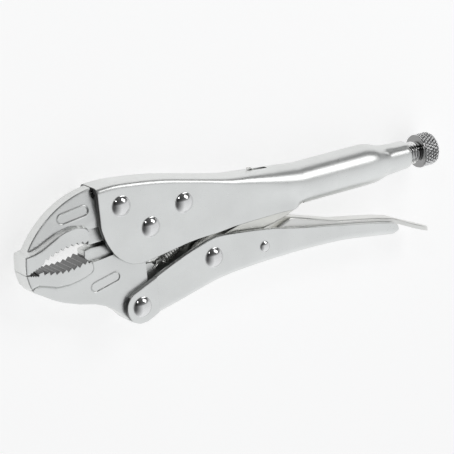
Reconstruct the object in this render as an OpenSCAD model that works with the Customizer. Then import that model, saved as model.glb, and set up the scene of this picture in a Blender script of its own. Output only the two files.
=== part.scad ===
// Locking pliers with curved jaws, lying on one side.
// +X runs from the jaws to the adjusting knob, +Y from the movable handle to the
// fixed handle, +Z is up. The origin is under the middle of the tool, on the surface
// that it lies on. Inside the modules the outlines are drawn in the tool's own plane:
// the adjusting screw's axis is the X axis there, and z = 0 is the middle of the steel.

/* [Sheet steel] */
// Thickness of the sheet that both handles are folded from
sheet = 2.7; // [2:0.1:3]
// Outer width of the folded handles
channel_w = 17.2; // [17:0.1:18]
// Outer radius of the folds
fold_r = 3.2; // [3:0.1:5]

/* [Fixed handle] */
// Radius of the rolled tube that the hand holds
tube_r = 11; // [10.6:0.1:11.2]
// Height of the tube's axis above the screw's axis
tube_rise = 0.7; // [0:0.1:1]
// Outer radius of the threaded neck at its end
neck_r = 7.5; // [7.3:0.1:7.9]
// Radius of the rounded plate around the jaw pivot
lobe_r = 17.6; // [17:0.1:18]

/* [Jaws] */
// Thickness of the jaws between the handle plates
web_t = 11.6; // [10.5:0.1:11.6]
// Thickness of the raised lips that carry the teeth
lip_t = 15; // [13:0.1:16]
// Thickness of the jaws at their tip
nose_t = 12.8; // [12:0.1:13]
// Thickness of the fixed jaw along its arched back
back_t = 7; // [5:0.1:9]
// Thickness of the wire cutter
cutter_t = 7.2; // [5:0.1:9]
// Height of a tooth in the curved part of the jaws
tooth_h = 1.4; // [0.8:0.1:1.8]
// Number of teeth in the curved part of each jaw
tooth_count = 9; // [6:1:12]
// Height of a tooth at the tip of the jaws
fine_tooth_h = 0.6; // [0.3:0.1:0.8]
// Number of teeth at the tip of each jaw
fine_tooth_count = 5; // [3:1:7]
// Length of the blank oval pad forged on each side of each jaw
pad_len = 16.5; // [12:0.5:18]
// Width of the blank oval pad
pad_w = 5; // [4:0.5:6]

/* [Rivets] */
// Radius of the shanks of the five large rivets
rivet_r = 3.5; // [3:0.1:4]
// Radius of the domed heads of the five large rivets
head_r = 5.2; // [4.5:0.1:5.6]
// Height of the domed heads of the five large rivets
head_h = 2.5; // [1.5:0.1:3]
// Radius of the release lever's pin
pin_r = 1.9; // [1.5:0.1:2.2]
// Radius of the heads of the release lever's pin
pin_head_r = 2.9; // [2.5:0.1:3.4]
// Height of the heads of the release lever's pin
pin_head_h = 1.2; // [0.8:0.1:1.6]

/* [Adjusting screw] */
// Outer radius of the thread
thread_r = 6; // [5.5:0.1:6]
// Distance from one thread to the next
pitch = 1.75; // [1.5:0.25:2]
// Radius of the knurled knob
knob_r = 9.1; // [8.5:0.1:9.5]
// Length of the knurled knob
knob_len = 10; // [8:0.5:12]

/* [Spring and lever] */
// Outer radius of the spring's coils
coil_r = 4; // [3.5:0.1:4.3]
// Thickness of the spring's wire
wire = 1.3; // [1:0.1:1.4]
// Width of the release lever
lever_w = 10.6; // [9:0.1:11]
// Thickness of the release lever's sheet
lever_sheet = 2; // [1.5:0.1:2.2]

/* [Hidden] */
$fn = 64;

// radial gap of every rivet, pin and thread in its hole
running = 0.05;
// heights of the outer faces of the handles
plate_z = channel_w / 2;

// centres of the pivots and rivets
jaw_pivot = [-56.7, 1.5];
handle_pivot = [-65.9, -37.4];
link_pivot = [-22.4, -22.9];
lever_pivot = [8.2, -24.8];
link_end = [52, 0.5];
front_rivet = [-71.8, 15.7];
rear_rivet = [-36.7, 9.1];
// the holes that the spring hooks into
jaw_hook = [-56, -22.3];
handle_hook = [14, 12.7];

// the tool's highest and lowest edges
top_y = 27.2;
ear_r = 9;
low_y = handle_pivot[1] - ear_r;
lift = plate_z + head_h;

// the fixed handle: [x, spine] and [x, plate edge] along its folded part, which runs
// into the tube, and [x, radius, share of the tube's rise] where it is swaged down
handle_front_x = -84;
tube_x = 36;
spine_line = [[-84, 26.9], [-76, 27.2], [-62, 26], [-46, 23.6], [-32, 20.5], [-18, 17.3],
              [-6, 15.2], [8, 14.2], [20, 13.2], [31, 12.2], [36, 11.7]];
plate_line = [[-84, -17], [-46, -17], [-32, -11.2], [-18, -10.7], [-6, -9.5], [20, -9.3],
              [31, -10], [36, -7.6]];
handle_stations = [-84, -76, -69, -62, -54, -46, -39, -32, -25, -18, -12, -6, 2, 8, 14, 20,
                   26, 31, 36.6];
lobe = [-63.5, 2.5];
tube_swage_x = 78;
swage_line = [[77.5, 10.95, 1], [84, 10.6, 0.6], [88, 9.8, 0.3], [92, 8.6, 0]];
tube_end_x = 83;
// the neck: [radius, x] from inside the swaged end to its own end
neck_end_x = 106.7;
neck_line = [[8.5, 90], [8.5, 93], [8, 97], [neck_r, neck_end_x]];
knob_x = 115;
// the spring hooks over this slot in the fixed handle's fold
slot_x = [8, 18];
// the link swings through a slot along the tube's underside
link_t = 9;
link_slot_x = [20, 55.5];

// the movable handle: [x, bottom of the fold] and [x, plate edge]
bottom_line = [[-56.4, -43.5], [-46, -41.3], [-32, -38.1], [-19, -35.4], [-6, -34.2],
               [14, -33.5], [28, -33.4], [54, -34.3], [82, -38], [94, -39.8]];
edge_line = [[-56.4, -24.5], [-46, -20.4], [-32, -15.8], [-19, -13.1], [-6, -14.2], [14, -17],
             [28, -20.1], [54, -25.2], [82, -30.6], [94, -33]];

// the jaws' curved gap: centre and mean radius of each row of teeth
upper_arc = [-97.9, -32.6, 35.3];
lower_arc = [-104.3, 29, 38.2];
nose_x = -125;
nose_y = -6.7;
// the back of the fixed jaw is an arc: centre and radius. The jaw gets thinner towards it
back_arc = [-79.5, -22.8, 50];
back_slope = 9;
// radius of the movable jaw around its pivot, and its gap to the fixed jaw
hub_r = 12.5;
hub_gap = 0.5;

// where the release lever's tail starts to round off
tail_x = 112;
// the screw's tip stays clear of the toggle link over the whole motion
screw_tip_x = 60.7;
tip_r = 3;
// the spring: radius of its ring hook, length of its rear and front ends before the
// coils, distance between coils, and how far before its slot the front hook turns up
loop_r = 3.6;
rear_len = 9;
front_len = 12;
coil_pitch = 1.75;
hook_len = 3;

// ---- shared shapes ----

// puts the tool on the surface, with the origin under its middle
module laid() {
    translate([0, -(top_y + low_y) / 2, lift]) children();
}

// an outline made into a slab of thickness t about the middle plane
module slab(t) {
    translate([0, 0, -t / 2]) linear_extrude(t) children();
}

// a round hole through the whole tool
module hole(at, r) {
    translate([at[0], at[1], -lift]) cylinder(r = r, h = 2 * lift);
}

// a disc in the tool's plane
module disc(at, r) {
    translate(at) circle(r);
}

// a point beside the centre of an arc
function polar(centre, r, a) = [centre[0] + r * cos(a), centre[1] + r * sin(a)];

// points along an arc from angle a0 to angle a1
function arc(centre, r, a0, a1, steps) =
    [for (i = [0:steps]) polar(centre, r, a0 + (a1 - a0) * i / steps)];

// a row of teeth along an arc: a root, then a tip, for each tooth
function tooth_arc(centre, r_root, r_tip, a0, a1, count) =
    [for (i = [0:count - 1], tip = [0, 1])
        polar(centre, tip == 1 ? r_tip : r_root, a0 + (a1 - a0) * (i + tip * 0.7) / count)];

// a row of teeth along a straight line, standing up by h
function tooth_line(from, to, h, count) =
    [for (i = [0:count - 1], tip = [0, 1])
        let (s = (i + tip * 0.5) / count)
        [from[0] + (to[0] - from[0]) * s, from[1] + (to[1] - from[1]) * s + tip * h]];

function reversed(list) = [for (i = [len(list) - 1:-1:0]) list[i]];

function mix(p, q, s) = [for (i = [0:len(p) - 1]) p[i] + (q[i] - p[i]) * s];

// half of a U-shaped path in the plane x = const, from the plate's edge to the fold.
// Points are [z, y]; up is 1 for a fold at the top and -1 for a fold at the bottom
function half_u(spine, edge, w, r, up) =
    concat([[w, edge]],
           [for (a = [0:18:90]) [w - r + r * cos(a), spine - up * r * (1 - sin(a))]]);

// the same number of points around half of an open tube
function half_tube(r, y, opening) =
    [for (i = [0:6]) let (a = opening + (82 - opening) * i / 6) [r * cos(a), y + r * sin(a)]];

function mirrored(half) = [for (p = reversed(half)) [-p[0], p[1]]];

// a closed section of sheet: the outer path, then the inner path back
function sheet_section(outer, inner) =
    concat(outer, mirrored(outer), reversed(concat(inner, mirrored(inner))));

// one section of a channel that is folded at the bottom
function channel_section(bottom, edge) =
    reversed(sheet_section(half_u(bottom, edge, plate_z, fold_r, -1),
                           half_u(bottom + sheet, edge, plate_z - sheet, fold_r - sheet, -1)));

// a folded sheet through the sections at the given x positions. At each end, quads
// join the outer path to the inner one
module loft(xs, sections) {
    m = len(sections[0]);
    last = len(xs) - 1;
    points = [for (k = [0:last], p = sections[k]) [xs[k], p[1], p[0]]];
    sides = [for (k = [0:last - 1], i = [0:m - 1], half = [0, 1])
        let (j = (i + 1) % m, a = k * m, b = a + m)
        half == 0 ? [a + i, a + j, b + j] : [a + i, b + j, b + i]];
    front = [for (i = [0:m / 2 - 2]) [m - 1 - i, m - 2 - i, i + 1, i]];
    rear = [for (f = front) [for (i = reversed(f)) last * m + i]];
    polyhedron(points, concat(sides, front, rear));
}

// a rivet with a domed head at each end
module rivet(at, r, cap_r, cap_h) {
    dome_r = (cap_r * cap_r + cap_h * cap_h) / (2 * cap_h);
    rim = asin(cap_r / dome_r);
    profile = concat([[0, 0], [r, 0], [r, plate_z], [cap_r, plate_z]],
                     [for (i = [1:8]) let (a = rim * (1 - i / 8))
                         [dome_r * sin(a), plate_z + cap_h - dome_r * (1 - cos(a))]]);
    color("gainsboro") laid() translate(at)
        for (side = [0, 1]) mirror([0, 0, side]) rotate_extrude() polygon(profile);
}

// a blank oval pad, raised on both sides of a jaw
module pad(at, angle) {
    translate(at) rotate(angle) slab(web_t + 0.6) {
        square([pad_len - pad_w, pad_w], center = true);
        for (side = [-1, 1]) translate([side * (pad_len - pad_w) / 2, 0]) circle(d = pad_w);
    }
}

// ---- fixed handle ----

// section of the fixed handle at x: a folded channel that opens into a tube. Its end
// lies just inside the tube's wall
function handle_section(x) =
    let (s = max(0, min(1, (x + 6) / (tube_x + 6))), inside = 0.05,
         spine = lookup(x, spine_line), edge = lookup(x, plate_line),
         ease = s * s * (3 - 2 * s),
         opening = asin(max(-0.87, (edge - tube_rise) / tube_r)),
         outer = mix(half_u(spine, edge, plate_z, fold_r, 1),
                     half_tube(tube_r - inside, tube_rise, opening), ease),
         inner = mix(half_u(spine - sheet, edge, plate_z - sheet, fold_r - sheet, 1),
                     half_tube(tube_r - sheet + inside, tube_rise, opening), ease))
    sheet_section(outer, inner);

// outline of the folded part's plates, seen from the side
module plate_outline() {
    disc(lobe, lobe_r);
    polygon([[handle_front_x, 40], [handle_front_x, 7.5], [-80, -3], [lobe[0], lobe[1] - lobe_r],
             [-46, -13.2], [-32, -11.2], [-26, -20], [tube_x + 5, -20], [tube_x + 5, 40]]);
}

module folded_plates() {
    intersection() {
        loft(handle_stations, [for (x = handle_stations) handle_section(x)]);
        slab(3 * channel_w) plate_outline();
    }
}

// top view of the slot under the tube, with a small gap beside the link
module link_slot() {
    half = link_t / 2 + 0.5;
    translate([link_slot_x[0], -half]) square([link_slot_x[1] - link_slot_x[0], 2 * half]);
}

// a round bar along X from x0 to x1, its axis at height y
module bar(x0, x1, r, y) {
    translate([x0, y, 0]) rotate([0, 90, 0]) cylinder(r = r, h = x1 - x0);
}

// the tube, its swaged end and its neck, with the bores
module tube_and_neck() {
    neck_profile = concat([[0, neck_line[0][1]]], neck_line, [[0, neck_end_x]]);
    difference() {
        union() {
            bar(tube_x, tube_swage_x, tube_r, tube_rise);
            hull() for (p = swage_line) bar(p[0], p[0] + 0.01, p[1], p[2] * tube_rise);
            rotate([0, 90, 0]) rotate_extrude() polygon(neck_profile);
        }
        bar(tube_x - 1, tube_end_x, tube_r - sheet, tube_rise);
        bar(tube_x, knob_x, thread_r + running, 0);
    }
}

module fixed_handle() {
    color("silver") laid() difference() {
        union() {
            folded_plates();
            tube_and_neck();
        }
        for (at = [front_rivet, rear_rivet, jaw_pivot]) hole(at, rivet_r + running);
        translate([slot_x[0], 0, -wire]) cube([slot_x[1] - slot_x[0], 30, 2 * wire]);
        rotate([90, 0, 0]) linear_extrude(2 * tube_r) link_slot();
    }
}

// ---- jaws ----

// the curved part and the tip of the upper row of teeth, from the rear to the nose
function upper_teeth() =
    concat(tooth_arc([upper_arc[0], upper_arc[1]], upper_arc[2] + tooth_h / 2,
                     upper_arc[2] - tooth_h / 2, 79, 122, tooth_count),
           tooth_line([-116.8, -3.2], [nose_x + 1.2, nose_y + 0.6], -fine_tooth_h,
                      fine_tooth_count));

// the same for the lower row, from the nose to the rear
function lower_teeth() =
    concat(tooth_line([nose_x + 1.2, nose_y - 0.6], [-118, -8.6], fine_tooth_h,
                      fine_tooth_count),
           tooth_arc([lower_arc[0], lower_arc[1]], lower_arc[2] + tooth_h / 2,
                     lower_arc[2] - tooth_h / 2, 248, 290, tooth_count));

// the lips widen from the tip of the jaws to their full thickness
module lip() {
    widest_x = nose_x + 13;
    intersection() {
        slab(lip_t) children();
        rotate([90, 0, 0]) linear_extrude(80, center = true)
            polygon([[nose_x, -nose_t / 2], [widest_x, -lip_t / 2], [handle_front_x, -lip_t / 2],
                     [handle_front_x, lip_t / 2], [widest_x, lip_t / 2], [nose_x, nose_t / 2]]);
    }
}

module upper_lip() {
    polygon(concat([[nose_x, nose_y], [nose_x + 0.8, 2.9], [-116, 4.5], [-110, 7.3],
                    [-103, 10.2], [-98, 10.8], [-93, 10], [-90, 8], [-89.4, 5.5], [-90.2, 1.6]],
                   upper_teeth(), [[nose_x + 1.2, nose_y]]));
}

module fixed_jaw_outline() {
    back = arc([back_arc[0], back_arc[1]], back_arc[2], 149.1, 96, 16);
    polygon(concat([[nose_x + 0.8, 3.3], [nose_x + 1.3, 0]], back,
                   [[-84.7, 23.8], [-84.2, 22], [-76, 22.4], [-62, 21.2], [-46, 18.8],
                    [-32, 15.7], [-27.5, 14.4], [-27, 4], [-44, 1], [-60, 7.5], [-89, 7.5],
                    [-98, 8.5], [-110, 4]]));
}

// all that is thick enough of the fixed jaw: full thickness between the handle's plates,
// and thinner towards the arched back in front of them
module jaw_thickness() {
    half = web_t / 2;
    r = back_arc[2];
    translate([handle_front_x, -50, -half]) cube([80, 100, web_t]);
    translate([back_arc[0], back_arc[1]]) rotate_extrude()
        polygon([[0, -half], [r - back_slope, -half], [r, -back_t / 2], [r, back_t / 2],
                 [r - back_slope, half], [0, half]]);
}

module fixed_jaw() {
    color("lightgray") laid() difference() {
        union() {
            intersection() {
                slab(web_t) fixed_jaw_outline();
                jaw_thickness();
            }
            lip() upper_lip();
            slab(cutter_t) polygon([[-92, 8.5], [-92, 0.2], [-88, -0.9], [-79, -0.5],
                                    [-66, -0.2], [-66, 8.5]]);
            pad([-96.2, 16.2], 7.5);
        }
        hole(jaw_pivot, hub_r + hub_gap);
        for (at = [front_rivet, rear_rivet]) hole(at, rivet_r + running);
    }
}

module lower_lip() {
    polygon(concat([[nose_x + 1.2, nose_y - 0.1]], lower_teeth(),
                   [[-90.4, -8.4], [-89.6, -12.1], [-91, -13.6], [-94.5, -14.8], [-98.5, -15.7],
                    [-103, -16.3], [-109, -16.1], [-115.5, -14], [-119.3, -12.7],
                    [nose_x + 1.6, -14], [nose_x + 0.4, -9], [nose_x, nose_y - 0.1]]));
}

module movable_jaw_outline() {
    disc(jaw_pivot, hub_r);
    disc(handle_pivot, ear_r);
    polygon([[nose_x + 0.8, -11], [nose_x + 1.6, -14], [-118, -18.6], [-112.5, -22.2],
             [-106.5, -25.3], [-98.2, -28.2], [-90.1, -30.3], [-84.6, -32.7], [-79.9, -35.9],
             [-75.8, -39.7], [-72.3, -43.8], handle_pivot, [-57.5, -34.2], [-59.6, -28],
             [-60, -22], [-60, -17], [-57, -8], jaw_pivot, [-68.5, -1.5], [-73, -6.2],
             [-77, -7.9], [-89, -8.9], [-95, -12], [-110, -12]]);
}

// the thin tab behind the movable jaw that the spring hooks into
module hook_tab() {
    slab(3) {
        disc([-57, -22.3], 4.2);
        translate([-63, -26.5]) square([6, 8.4]);
    }
}

module movable_jaw() {
    color("lightgray") laid() difference() {
        union() {
            slab(web_t) movable_jaw_outline();
            lip() lower_lip();
            slab(cutter_t) polygon([[-92, -10], [-92, -3], [-88, -2.3], [-79, -2.6],
                                    [-69, -3], [-69, -10]]);
            hook_tab();
            pad([-83.2, -20.5], 12.5);
        }
        for (at = [jaw_pivot, handle_pivot]) hole(at, rivet_r + running);
        hole(jaw_hook, wire);
    }
}

// ---- movable handle ----

module movable_handle() {
    xs = [for (p = bottom_line) p[0]];
    sections = [for (x = xs) channel_section(lookup(x, bottom_line), lookup(x, edge_line))];
    color("silver") laid() difference() {
        union() {
            intersection() {
                loft(xs, sections);
                slab(3 * channel_w) {
                    polygon([[-70, -50], [-70, 0], [86, 0], [91, -33.4], [93.2, -35.5],
                             [94, -37.6], [93, -39.2], [90, -50]]);
                }
            }
            for (side = [-1, 1]) {
                translate([0, 0, side * (plate_z - sheet / 2)]) slab(sheet) {
                    disc(handle_pivot, ear_r - 0.4);
                    polygon([[-70, -29.9], [-55.5, -24.2], [-55.5, -39], [-57, -42.8],
                             [-64.4, -45.9], handle_pivot]);
                }
            }
        }
        for (at = [handle_pivot, link_pivot]) hole(at, rivet_r + running);
        hole(lever_pivot, pin_r + running);
    }
}

// ---- toggle link ----

module link_outline() {
    disc(link_pivot, 6.5);
    disc(link_end, 4);
    polygon([[-24, -16.6], [20, -4.6], [50.8, 4.3], [53.5, -3.2], [34, -10], [28, -12.9],
             [20, -15], [8, -17.5], [-8, -22.6], [-19.4, -28.6]]);
}

module toggle_link() {
    color("silver") laid() difference() {
        union() {
            slab(link_t) link_outline();
            slab(web_t) disc(link_pivot, 5.5);
        }
        hole(link_pivot, rivet_r + running);
    }
}

// ---- release lever ----

// side view of the lever's folded part: walls that hang from a top strip
module lever_side(drop) {
    translate([0, -drop]) polygon([[8.5, -20.5], [16, -19.1], [27.2, -14.8], [28.4, -14.8],
        [57, -23.5], [84, -28.7], [94, -31.4], [94, -33.4], [84, -32.6], [54, -29.6],
        [20, -29.6], [8.2, -29.8]]);
}

// side view of the bent tail
module lever_tail_side() {
    polygon([[88, -29.8], [94, -31.4], [106, -37], [118.5, -42.2], [118.5, -44.6],
             [106, -39.4], [94, -33.6], [88, -31.9]]);
}

// top view of the tail: it widens past the handle and ends in a half circle
module lever_tail_plan() {
    half = lever_w / 2;
    polygon([[80, -half], [96, -half], [102, -half - 1], [tail_x, -half - 1],
             [tail_x, half + 1], [102, half + 1], [96, half], [80, half]]);
    translate([tail_x, 0]) circle(half + 1);
}

module release_lever() {
    color("darkgray") laid() {
        difference() {
            slab(lever_w) {
                lever_side(0);
                disc(lever_pivot, 4.3);
            }
            slab(lever_w - 2 * lever_sheet) {
                lever_side(lever_sheet);
                disc(lever_pivot, 5.3);
                translate([0, -41]) square([80, 12]);
            }
            hole(lever_pivot, pin_r + running);
        }
        intersection() {
            slab(2 * lever_w) lever_tail_side();
            rotate([90, 0, 0]) linear_extrude(60) lever_tail_plan();
        }
    }
}

// ---- adjusting screw ----

// [radius, x] of the thread's crests and roots
function thread_profile(x0, x1) =
    [for (x = [x0:pitch:x1], crest = [0, 1])
        [crest == 1 ? thread_r : thread_r - 0.6 * pitch, x + crest * pitch / 2]];

module adjusting_screw() {
    neck = thread_r - 0.6 * pitch;
    color("gray") laid() rotate([0, 90, 0]) rotate_extrude()
        polygon(concat([[0, screw_tip_x], [tip_r, screw_tip_x + 0.6]],
                       thread_profile(screw_tip_x + 3, knob_x - 3), [[neck, knob_x - 1.5],
                       [neck, knob_x], [knob_r - 0.5, knob_x], [knob_r, knob_x + 0.6],
                       [knob_r, knob_x + knob_len - 1.6], [knob_r - 0.6, knob_x + knob_len - 0.6],
                       [knob_r - 1.8, knob_x + knob_len], [0, knob_x + knob_len]]));
}

// ---- tension spring ----

// a bent wire through the given points
module bent_wire(points) {
    for (i = [1:len(points) - 1]) {
        span = points[i] - points[i - 1];
        translate(points[i - 1]) rotate([0, acos(span[2] / norm(span)), atan2(span[1], span[0])])
            cylinder(d = wire, h = norm(span));
        translate(points[i]) sphere(r = 0.55 * wire);
    }
}

// the hook at the jaw is a ring that stands across the tab
module ring_hook() {
    ring = loop_r - wire / 2;
    translate([ring, 0, 0]) rotate([90, 0, 0]) rotate_extrude() translate([ring, 0])
        circle(d = wire);
}

module tension_spring() {
    reach = norm(handle_hook - jaw_hook);
    angle = atan2(handle_hook[1] - jaw_hook[1], handle_hook[0] - jaw_hook[0]);
    coils = floor((reach - rear_len - front_len) / coil_pitch);
    body_end = rear_len + coils * coil_pitch;
    coil_mid = coil_r - wire / 2;
    profile = concat([for (i = [0:coils - 1], side = [0, 1])
                         [side == 0 ? coil_r - wire / 3 : coil_r, (i + side / 2) * coil_pitch]],
                     [[coil_r - wire / 3, body_end - rear_len], [coil_r - wire, body_end - rear_len],
                      [coil_r - wire, 0]]);
    under_slot = handle_hook - hook_len * [cos(angle), sin(angle)];
    hook_x = slot_x[0] + 1.1;
    color("dimgray") laid() {
        translate(jaw_hook) rotate(angle) {
            ring_hook();
            translate([rear_len, 0, 0]) rotate([0, 90, 0]) rotate_extrude() polygon(profile);
            bent_wire([[2 * loop_r - wire, 0, 0], [rear_len + wire, 0, coil_mid]]);
            bent_wire([[body_end - wire, 0, coil_mid], [reach - hook_len, 0, 0]]);
        }
        bent_wire([[under_slot[0], under_slot[1], 0], [hook_x, handle_hook[1] + 2.2, 0],
                   [hook_x - 2.6, handle_hook[1] + 2.4, 0]]);
    }
}

// ---- rivets ----

module front_jaw_rivet() rivet(front_rivet, rivet_r, head_r, head_h);
module rear_jaw_rivet() rivet(rear_rivet, rivet_r, head_r, head_h);
module jaw_pivot_rivet() rivet(jaw_pivot, rivet_r, head_r, head_h);
module handle_pivot_rivet() rivet(handle_pivot, rivet_r, head_r, head_h);
module link_pivot_rivet() rivet(link_pivot, rivet_r, head_r, head_h);
module lever_pin() rivet(lever_pivot, pin_r, pin_head_r, pin_head_h);

fixed_handle();
fixed_jaw();
movable_jaw();
movable_handle();
toggle_link();
release_lever();
adjusting_screw();
tension_spring();
front_jaw_rivet();
rear_jaw_rivet();
jaw_pivot_rivet();
handle_pivot_rivet();
link_pivot_rivet();
lever_pin();
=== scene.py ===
"""Locking pliers: detailed meshes, materials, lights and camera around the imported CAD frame.

Lengths are in millimetres in the tool's own axes until add_mesh() turns them into metres
in the row frame: X runs along the adjusting screw, Y from the movable handle to the fixed
handle, and Z = 0 is the middle of the steel.
"""
import math

import bmesh
import bpy
import numpy as np
from mathutils import Matrix, Vector
from mathutils.geometry import delaunay_2d_cdt


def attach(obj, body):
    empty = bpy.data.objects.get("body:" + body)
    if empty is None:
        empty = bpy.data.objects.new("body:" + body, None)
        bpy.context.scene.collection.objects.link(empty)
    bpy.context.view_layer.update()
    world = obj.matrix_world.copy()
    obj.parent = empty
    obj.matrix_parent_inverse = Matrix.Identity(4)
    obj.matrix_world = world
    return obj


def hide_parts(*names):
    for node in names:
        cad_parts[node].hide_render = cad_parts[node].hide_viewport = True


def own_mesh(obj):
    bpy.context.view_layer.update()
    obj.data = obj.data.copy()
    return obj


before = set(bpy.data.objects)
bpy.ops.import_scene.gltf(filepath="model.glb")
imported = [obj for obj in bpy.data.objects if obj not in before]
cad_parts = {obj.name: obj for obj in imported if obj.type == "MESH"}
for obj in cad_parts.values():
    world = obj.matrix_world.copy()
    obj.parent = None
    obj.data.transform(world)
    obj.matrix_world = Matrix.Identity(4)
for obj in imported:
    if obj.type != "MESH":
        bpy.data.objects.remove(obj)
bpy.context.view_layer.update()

MM = 0.001
# where the tool's own origin lies in the row frame
TOOL_ORIGIN = np.array([0.0, 9.6, 11.1])

# ---- sizes of the tool, in millimetres ----

SHEET = 2.7
PLATE_Z = 8.6
FOLD_R = 3.2
TUBE_R = 11.0
TUBE_RISE = 0.7
THREAD_R = 6.0
PITCH = 1.75
KNOB_R = 9.1
KNOB_X = 115.0
KNOB_LEN = 10.0

JAW_PIVOT = (-56.7, 1.5)
HANDLE_PIVOT = (-65.9, -37.4)
LINK_PIVOT = (-22.4, -22.9)
LEVER_PIVOT = (8.2, -24.8)
FRONT_RIVET = (-71.8, 15.7)
REAR_RIVET = (-36.7, 9.1)
JAW_HOOK = (-56.0, -22.3)
HANDLE_HOOK = (14.0, 12.7)

WEB_Z = 5.8
LIP_Z = 7.5
NOSE_Z = 6.4
CUTTER_Z = 3.6
TAB_Z = 2.6
NOSE_X = -125.0
NOSE_Y = -6.7


# ---- mesh helpers ----

def add_mesh(name, verts, faces, sharp_angle=38.0):
    """Makes an object from tool points in mm, smooth except across sharp edges."""
    mesh = bpy.data.meshes.new(name)
    points = (np.asarray(verts, float) + TOOL_ORIGIN) * MM
    mesh.from_pydata(points.tolist(), [], [list(map(int, f)) for f in faces])
    work = bmesh.new()
    work.from_mesh(mesh)
    bmesh.ops.remove_doubles(work, verts=work.verts, dist=1e-7)
    bmesh.ops.dissolve_degenerate(work, dist=1e-8, edges=work.edges)
    bmesh.ops.recalc_face_normals(work, faces=work.faces)
    work.to_mesh(mesh)
    work.free()
    mesh.shade_smooth()
    mesh.set_sharp_from_angle(angle=math.radians(sharp_angle))
    obj = bpy.data.objects.new(name, mesh)
    bpy.context.scene.collection.objects.link(obj)
    return obj


def place(obj, body, slot, material, *nodes):
    """The piece rides on a body, takes the material and stands for CAD nodes; slot is not used."""
    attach(obj, body)
    if nodes:
        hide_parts(*nodes)
    obj.data.materials.clear()
    obj.data.materials.append(material)
    return obj


def join_parts(parts):
    """Joins several (verts, faces) pairs into one pair."""
    verts = []
    faces = []
    for part_verts, part_faces in parts:
        base = len(verts)
        verts.extend(list(map(tuple, part_verts)))
        faces.extend([[i + base for i in f] for f in part_faces])
    return verts, faces


def smooth_line(points):
    """A function of x through the given (x, value) points, with no kinks or overshoot."""
    xs = np.array([p[0] for p in points], float)
    ys = np.array([p[1] for p in points], float)
    steps = np.diff(ys) / np.diff(xs)
    slopes = np.concatenate([steps[:1], np.zeros(len(xs) - 2), steps[-1:]])
    for i in range(1, len(xs) - 1):
        if steps[i - 1] * steps[i] > 0:
            slopes[i] = 2 * steps[i - 1] * steps[i] / (steps[i - 1] + steps[i])

    def value(x):
        x = np.clip(x, xs[0], xs[-1])
        i = int(np.clip(np.searchsorted(xs, x) - 1, 0, len(xs) - 2))
        h = xs[i + 1] - xs[i]
        t = (x - xs[i]) / h
        low = ys[i] * (1 + 2 * t) + slopes[i] * h * t
        high = ys[i + 1] * (3 - 2 * t) - slopes[i + 1] * h * (1 - t)
        return low * (1 - t) ** 2 + high * t ** 2

    return value


def straight_line(points):
    """A function of x through the given (x, value) points, straight between them."""
    xs = [p[0] for p in points]
    ys = [p[1] for p in points]
    return lambda x: float(np.interp(x, xs, ys))


def ease(t):
    """0 below 0, 1 above 1 and a smooth rise between."""
    t = np.clip(t, 0.0, 1.0)
    return t * t * (3 - 2 * t)


def spread(stops, step):
    """Stations through all stops, no further apart than step."""
    out = [stops[0]]
    for a, b in zip(stops, stops[1:]):
        count = max(1, int(math.ceil((b - a) / step)))
        out.extend(a + (b - a) * (k + 1) / count for k in range(count))
    return out


def loft(sections):
    """A tube of quads through closed sections of equal length, with quad-strip ends."""
    count = len(sections[0])
    verts = [p for s in sections for p in s]
    faces = []
    for k in range(len(sections) - 1):
        for i in range(count):
            j = (i + 1) % count
            faces.append([k * count + i, k * count + j, (k + 1) * count + j, (k + 1) * count + i])
    for base in (0, (len(sections) - 1) * count):
        for i in range(count // 2 - 1):
            faces.append([base + i, base + i + 1, base + count - 2 - i, base + count - 1 - i])
    return verts, faces


def arc_points(centre, radius, start, end, step=0.5):
    """Points along an arc, from one angle to another in degrees."""
    count = max(2, int(abs(math.radians(end - start)) * radius / step))
    angles = np.radians(np.linspace(start, end, count))
    return [(centre[0] + radius * math.cos(a), centre[1] + radius * math.sin(a)) for a in angles]


def rounded(points, radius, steps=5):
    """A closed outline with its corners rounded off."""
    out = []
    total = len(points)
    for i in range(total):
        before, corner, after = (np.array(points[k % total], float) for k in (i - 1, i, i + 1))
        to_before, to_after = before - corner, after - corner
        len_before, len_after = np.linalg.norm(to_before), np.linalg.norm(to_after)
        reach = min(radius, 0.45 * len_before, 0.45 * len_after)
        first = corner + to_before / len_before * reach
        last = corner + to_after / len_after * reach
        for t in np.linspace(0, 1, steps):
            out.append(tuple((1 - t) ** 2 * first + 2 * t * (1 - t) * corner + t ** 2 * last))
    return out


# ---- plates with relief ----

def segment_distance(points, path, closed=True):
    """Distance of each point from a polyline."""
    path = np.asarray(path, float)
    ends = np.roll(path, -1, axis=0) if closed else path[1:]
    starts = path if closed else path[:-1]
    best = np.full(len(points), np.inf)
    for a, b in zip(starts, ends):
        d = b - a
        length = max(float(d @ d), 1e-12)
        t = np.clip(((points - a) @ d) / length, 0, 1)
        gap = points - (a + t[:, None] * d)
        best = np.minimum(best, np.hypot(gap[:, 0], gap[:, 1]))
    return best


def is_inside(points, outline):
    """Which points lie inside a closed outline."""
    path = np.asarray(outline, float)
    inside = np.zeros(len(points), bool)
    x, y = points[:, 0], points[:, 1]
    for (x0, y0), (x1, y1) in zip(path, np.roll(path, -1, axis=0)):
        if y0 == y1:
            continue
        crosses = (y0 > y) != (y1 > y)
        inside ^= crosses & (x < (x1 - x0) * (y - y0) / (y1 - y0) + x0)
    return inside


def signed_distance(points, outline):
    """Distance from an outline, positive inside."""
    d = segment_distance(points, outline)
    return np.where(is_inside(points, outline), d, -d)


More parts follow.
